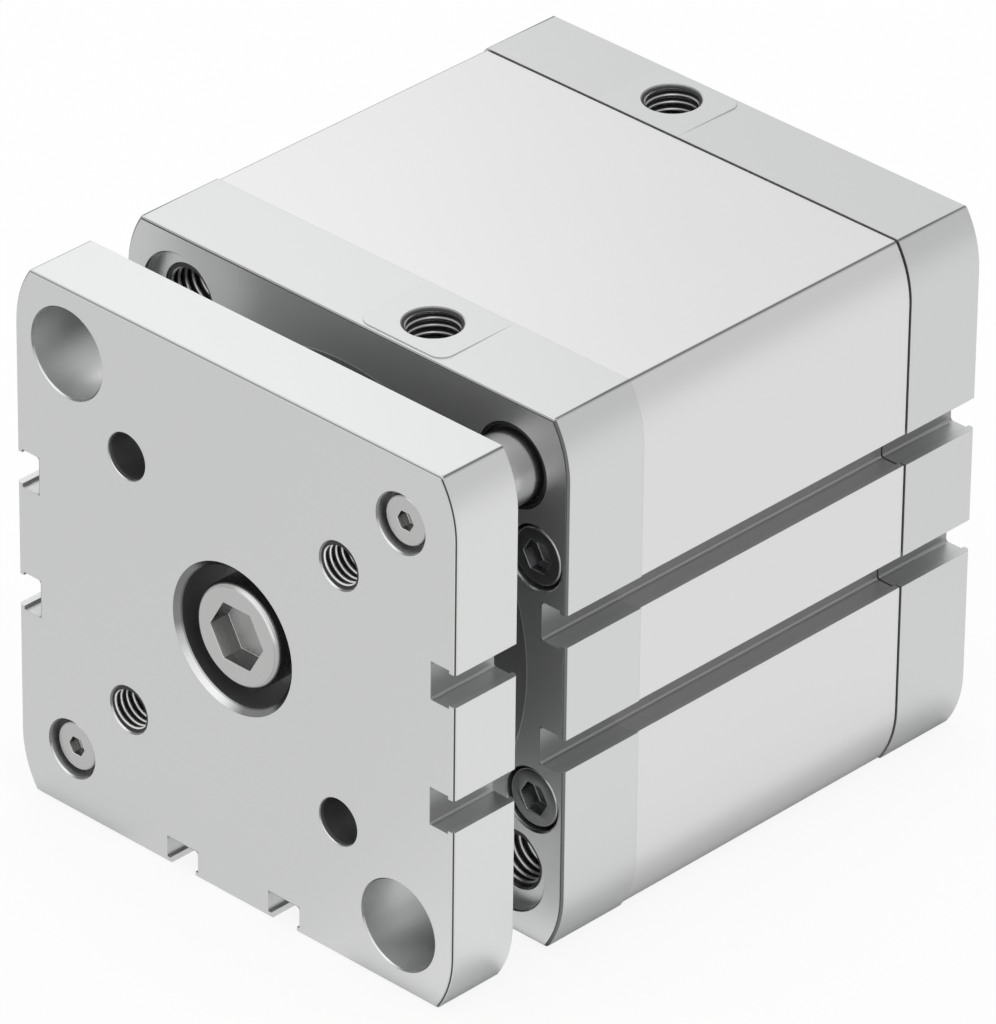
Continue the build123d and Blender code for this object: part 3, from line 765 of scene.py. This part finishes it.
# %% Helpers for modelling by hand
def named_piece(name):
    """Names the piece that an operator has just added."""
    piece = bpy.context.active_object
    piece.name = name
    piece.data.name = name
    return piece


def only(piece):
    """Selects one piece and nothing else."""
    bpy.ops.object.select_all(action="DESELECT")
    piece.select_set(True)
    bpy.context.view_layer.objects.active = piece


def keep_place(piece, spot=(0, 0, 0), turn=(0, 0, 0)):
    """Turns and moves a piece, and puts its place into its mesh."""
    only(piece)
    piece.rotation_euler = turn
    piece.location = spot
    bpy.ops.object.transform_apply(location=True, rotation=True, scale=True)


def copy_of(piece, name):
    """A second piece with a mesh of its own."""
    twin = piece.copy()
    twin.data = piece.data.copy()
    twin.name = name
    twin.data.name = name
    bpy.context.scene.collection.objects.link(twin)
    return twin


def finish_piece(piece, body, material):
    """Smooths, paints and seats a piece on its body."""
    only(piece)
    bpy.ops.object.shade_smooth_by_angle(angle=math.radians(35))
    if material:
        piece.data.materials.clear()
        piece.data.materials.append(material)
    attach(piece, body)


look_front = (math.pi / 2, 0, 0)
look_rear = (-math.pi / 2, 0, 0)
look_up = (0, 0, 0)


# %% Thread ridge
lit_share = 0.3
root_sink = 0.06 * MM
foot_share = 0.48
crest_share = 0.08
steps_per_turn = 40
along_axis = 0.9


def thread_ridge(name, outer, inner, pitch, depth, mouth):
    """Helical ridge of a tapped hole down from zero, cut off at the mouth and at its depth."""
    foot = outer + root_sink
    foot_half = foot_share * pitch
    crest_half = crest_share * pitch
    shoulder = inner + lit_share * (foot - inner)
    shoulder_half = crest_half + lit_share * (foot_half - crest_half)
    section = [
        (foot, foot_half), (shoulder, shoulder_half), (inner, crest_half), (inner, -crest_half),
        (foot, -foot_half),
    ]
    turns = math.ceil(depth / pitch) + 2
    bpy.ops.object.select_all(action="DESELECT")
    bpy.ops.mesh.primitive_circle_add(vertices=len(section), radius=MM, fill_type="NOTHING")
    ridge = named_piece(name)
    for point, (radius, level) in zip(ridge.data.vertices, section):
        point.co = (radius, 0, pitch + level)
    winding = ridge.modifiers.new("winding", "SCREW")
    winding.axis = "Z"
    winding.angle = 2 * math.pi
    winding.screw_offset = -pitch
    winding.iterations = turns
    winding.steps = steps_per_turn
    winding.render_steps = steps_per_turn
    bpy.ops.object.modifier_apply(modifier=winding.name)
    bpy.ops.object.mode_set(mode="EDIT")
    bpy.ops.mesh.select_all(action="SELECT")
    bpy.ops.mesh.fill_holes(sides=len(section))
    bpy.ops.mesh.select_all(action="SELECT")
    bpy.ops.mesh.normals_make_consistent(inside=False)
    bpy.ops.object.mode_set(mode="OBJECT")
    bpy.ops.mesh.primitive_cylinder_add(
        vertices=64, radius=2 * outer, depth=depth - mouth, location=(0, 0, -(depth + mouth) / 2)
    )
    sleeve = named_piece("sleeve")
    only(ridge)
    cut = ridge.modifiers.new("run_out", "BOOLEAN")
    cut.operation = "INTERSECT"
    cut.object = sleeve
    cut.solver = "EXACT"
    bpy.ops.object.modifier_apply(modifier=cut.name)
    bpy.data.objects.remove(sleeve)
    return ridge


def lay_threads(name, ridge, outer, inner, spots, turn, body, crest=painted_highlight_crest):
    """Copies one ridge to each hole of a pattern, with a painted highlight on the crest and painted shade
    on its flanks.
    """
    ridge.data.materials.append(painted_shade_flank)
    ridge.data.materials.append(crest)
    lit = inner + lit_share * (outer - inner)
    for face in ridge.data.polygons:
        on_crest = math.hypot(face.center.x, face.center.y) < lit
        face.material_index = int(on_crest and abs(face.normal.z) < along_axis)
    for number, spot in enumerate(spots, 1):
        piece = copy_of(ridge, name + "_" + str(number))
        keep_place(piece, spot, turn)
        finish_piece(piece, body, None)
    bpy.data.objects.remove(ridge)
    print(name, len(spots), "holes")


# %% Threads of the air ports
port_outer = 4.865 * MM
port_inner = 4.25 * MM
port_pitch = 1.3 * MM
port_depth = 8 * MM
port_break = 0.5 * MM
front_port = (11.2 * MM, body_face + 8.16 * MM, port_level)
rear_port = (-11.7 * MM, body_back - 7.6 * MM, port_level)
port_ridge = thread_ridge("port_ridge", port_outer, port_inner, port_pitch, port_depth, port_break)
port_spots = [front_port, rear_port]
lay_threads(
    "port_thread", port_ridge, port_outer, port_inner, port_spots, look_up, "cylinder_body",
    painted_highlight_port_crest,
)

# %% Threads of the mounting holes
mount_outer = 5 * MM
mount_inner = 4.25 * MM
mount_pitch = 1.5 * MM
mount_depth = 15 * MM
mount_seat = 2.3 * MM
mount_break = 0.3 * MM
front_spots = [(-corner, body_face + mount_seat, corner), (corner, body_face + mount_seat, -corner)]
rear_spots = [(x, body_back, z) for x in (-corner, corner) for z in (-corner, corner)]
front_depth = mount_depth - mount_seat
front_ridge = thread_ridge("front_ridge", mount_outer, mount_inner, mount_pitch, front_depth, mount_break)
lay_threads(
    "front_mount_thread", front_ridge, mount_outer, mount_inner, front_spots, look_front, "cylinder_body",
)
rear_ridge = thread_ridge("rear_ridge", mount_outer, mount_inner, mount_pitch, mount_depth, mount_break)
lay_threads(
    "rear_mount_thread", rear_ridge, mount_outer, mount_inner, rear_spots, look_rear, "cylinder_body",
)

# %% Threads of the plate
plate_outer = 4 * MM
plate_inner = 3.35 * MM
plate_pitch = 1.25 * MM
plate_depth = plate_back - plate_face
plate_spots = [(inner_corner, plate_face, inner_corner), (-inner_corner, plate_face, -inner_corner)]
plate_ridge = thread_ridge("plate_ridge", plate_outer, plate_inner, plate_pitch, plate_depth, mount_break)
lay_threads(
    "plate_thread", plate_ridge, plate_outer, plate_inner, plate_spots, look_front, "yoke"
)

# %% [markdown]
# ## Socket head screws
# A screw head is a turned cylinder with a rounded rim and a hexagon pressed into it. The rim is
# bevelled by hand, the hexagon is cut by a boolean, and a last small bevel breaks the edges of the
# socket, where the light catches.

# %% Screw by hand
def choose(piece, kind, test):
    """In edit mode, selects the faces or edges that pass a test."""
    bpy.ops.mesh.select_mode(type=kind)
    bpy.ops.mesh.select_all(action="DESELECT")
    bpy.ops.object.mode_set(mode="OBJECT")
    mesh = piece.data
    if kind == "FACE":
        for face in mesh.polygons:
            face.select = test(face.center, face.normal)
    else:
        for edge in mesh.edges:
            first, second = (mesh.vertices[i].co for i in edge.vertices)
            edge.select = test(first, second)
    bpy.ops.object.mode_set(mode="EDIT")


def socket_head_screw(name, head, height, rim, hexagon, socket_depth, shank, length):
    """Screw down from zero, its head's face at zero. Diameters and lengths are in metres."""
    near = 0.01 * MM
    bpy.ops.object.select_all(action="DESELECT")
    bpy.ops.mesh.primitive_cylinder_add(vertices=96, radius=head / 2, depth=height)
    screw = named_piece(name)
    keep_place(screw, (0, 0, -height / 2))
    bpy.ops.object.mode_set(mode="EDIT")
    choose(screw, "FACE", lambda centre, normal: normal.z < -along_axis)
    bpy.ops.mesh.inset(thickness=(head - shank) / 2)
    bpy.ops.mesh.extrude_region_move(TRANSFORM_OT_translate={"value": (0, 0, -length)})
    choose(screw, "EDGE", lambda first, second: abs(first.z) < near and abs(second.z) < near)
    bpy.ops.mesh.bevel(offset=rim, segments=5, profile=0.5)
    bpy.ops.object.mode_set(mode="OBJECT")
    bpy.ops.object.select_all(action="DESELECT")
    hexagon_turn = (0, 0, math.radians(30))
    bpy.ops.mesh.primitive_cylinder_add(
        vertices=6, radius=hexagon / math.sqrt(3), depth=2 * socket_depth, rotation=hexagon_turn
    )
    key = named_piece("hexagon_key")
    only(screw)
    cut = screw.modifiers.new("socket", "BOOLEAN")
    cut.operation = "DIFFERENCE"
    cut.object = key
    cut.solver = "EXACT"
    bpy.ops.object.modifier_apply(modifier=cut.name)
    bpy.data.objects.remove(key)
    break_edges = screw.modifiers.new("broken_edges", "BEVEL")
    break_edges.limit_method = "ANGLE"
    break_edges.angle_limit = math.radians(50)
    break_edges.width = 0.1 * MM
    break_edges.segments = 2
    bpy.ops.object.modifier_apply(modifier=break_edges.name)
    return screw


# %% Screw in the middle of the plate
centre_sink = 0.9 * MM
centre_screw = socket_head_screw(
    "centre_screw", head=18 * MM, height=9.5 * MM, rim=1.1 * MM, hexagon=10 * MM,
    socket_depth=4 * MM, shank=12 * MM, length=12 * MM,
)
keep_place(centre_screw, (0, plate_face + centre_sink, 0), look_front)
finish_piece(centre_screw, "yoke", bright_zinc)
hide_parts("yoke_centre_screw")
print("centre screw", len(centre_screw.data.polygons), "faces")

# %% Low head screws of the guide rods
low_sink = 1.0 * MM
low_screw = socket_head_screw(
    "low_screw", head=8.5 * MM, height=3.5 * MM, rim=0.45 * MM, hexagon=3 * MM,
    socket_depth=2 * MM, shank=5 * MM, length=8 * MM,
)
low_spots = [(corner, plate_face + low_sink, corner), (-corner, plate_face + low_sink, -corner)]
for number, spot in enumerate(low_spots, 1):
    piece = copy_of(low_screw, "guide_screw_" + str(number))
    keep_place(piece, spot, look_front)
    finish_piece(piece, "yoke", bright_zinc)
    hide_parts("guide_rod_screws")
bpy.data.objects.remove(low_screw)
print("guide screws", len(low_spots))

# %% Black screws of the caps
cap_sink = 0.45 * MM
cap_screw = socket_head_screw(
    "cap_screw", head=10 * MM, height=6 * MM, rim=0.5 * MM, hexagon=5 * MM,
    socket_depth=3 * MM, shank=6 * MM, length=12 * MM,
)
cap_rows = (("front", body_face + cap_sink, look_front), ("rear", body_back - cap_sink, look_rear))
for side, station, turn in cap_rows:
    number = 0
    for x in (-cap_screw_across, cap_screw_across):
        for z in (-cap_screw_up, cap_screw_up):
            number += 1
            piece = copy_of(cap_screw, side + "_cap_screw_" + str(number))
            keep_place(piece, (x, station, z), turn)
            finish_piece(piece, "cylinder_body", black_oxide)
            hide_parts(side + "_cap_screws")
bpy.data.objects.remove(cap_screw)
print("cap screws on both caps")

# %% [markdown]
# ## Rubber lips
# Round each rod sits a black ring whose face dips towards the rod and ends in a lip that wipes it. The
# ring is turned: its section is drawn once and spun about the rod's axis.

# %% Wiper rings
def turned_ring(name, section):
    """Ring spun from a closed section of radius and height points, in millimetres."""
    bpy.ops.object.select_all(action="DESELECT")
    bpy.ops.mesh.primitive_circle_add(vertices=len(section), radius=MM, fill_type="NOTHING")
    ring = named_piece(name)
    for point, (radius, level) in zip(ring.data.vertices, section):
        point.co = (radius * MM, 0, level * MM)
    bpy.ops.object.mode_set(mode="EDIT")
    bpy.ops.mesh.select_all(action="SELECT")
    bpy.ops.mesh.spin(steps=96, angle=2 * math.pi, center=(0, 0, 0), axis=(0, 0, 1))
    bpy.ops.mesh.select_all(action="SELECT")
    bpy.ops.mesh.remove_doubles(threshold=0.002 * MM)
    bpy.ops.mesh.normals_make_consistent(inside=False)
    bpy.ops.object.mode_set(mode="OBJECT")
    return ring


guide_lip = [
    (7.22, -3.5), (7.22, -0.35), (7.08, -0.15), (6.72, -0.15), (6.45, -0.75),
    (6.06, -0.6), (6.06, -1.0), (6.5, -1.8), (6.3, -3.5),
]
for side, sign in (("upper", 1), ("lower", -1)):
    lip = turned_ring("guide_lip_" + side, guide_lip)
    keep_place(lip, (sign * corner, body_face, sign * corner), look_front)
    finish_piece(lip, "cylinder_body", seal_rubber)
    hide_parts("guide_wiper_" + side)

rod_lip = [
    (13.97, -5.0), (13.97, -0.35), (13.7, -0.1), (13.2, -0.15), (12.0, -1.3),
    (11.0, -1.6), (10.06, -0.6), (10.06, -1.2), (11.2, -3.2), (10.4, -5.0),
]
wiped_rod = turned_ring("rod_lip", rod_lip)
recess_depth = 1.2 * MM
keep_place(wiped_rod, (0, body_face + recess_depth, 0), look_front)
finish_piece(wiped_rod, "cylinder_body", seal_rubber)
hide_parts("rod_seal")
print("rubber lips on the rod and both guides")

# %% View transform
bpy.context.scene.view_settings.view_transform = "Standard"
